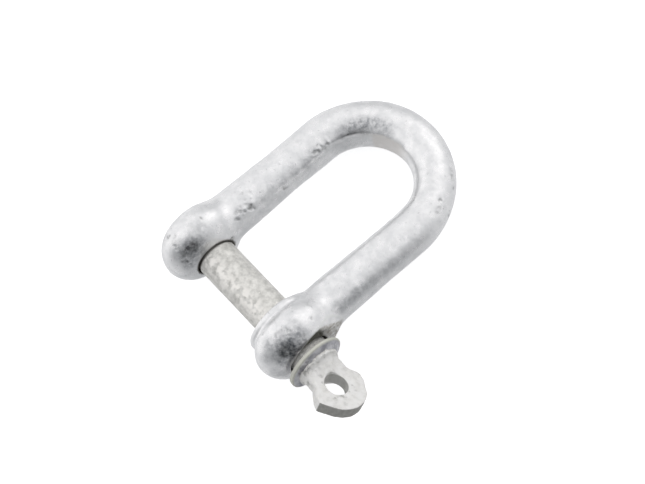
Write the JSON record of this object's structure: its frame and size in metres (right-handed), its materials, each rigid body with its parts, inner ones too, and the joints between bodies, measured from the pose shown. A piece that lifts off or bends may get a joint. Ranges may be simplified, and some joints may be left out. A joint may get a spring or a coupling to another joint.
{
  "type": "shackle",
  "caption": "Galvanised dee shackle with a forged bow, round lugs and a screw collar pin that has a flattened, drilled eye.",
  "frame": {"origin": "on the pin axis, midway between the two lugs", "axes": "+X along the pin towards its eye, +Y from the pin to the crown of the bow, +Z square to the plane of the bow"},
  "size_m": [0.0642, 0.0701, 0.0212],
  "materials": {
    "body_zinc": "hot-dip galvanised, bright and half glossy, with fine pits",
    "collar_zinc": "hot-dip galvanised, worn bright on the rim",
    "pin_zinc": "hot-dip galvanised, dull and grainy"
  },
  "bodies": {
    "bow": {"shackle_body": "body_zinc"},
    "collar": {"pin_collar": "collar_zinc"},
    "pin": {"screw_pin": "pin_zinc"}
  },
  "joints": [
    {"name": "pin_travel", "type": "slide", "parent": "bow", "child": "collar", "axis": [1, 0, 0], "range_m": [-0.00149, 0.0465]},
    {"name": "pin_turn", "type": "hinge", "parent": "collar", "child": "pin", "pos_m": [0, 0, 0], "axis": [1, 0, 0], "range_deg": [-360, 11180]}
  ],
  "couplings": [
    {"joint": "pin_turn", "follows": "pin_travel", "rad_per_m": 4188.8}
  ]
}
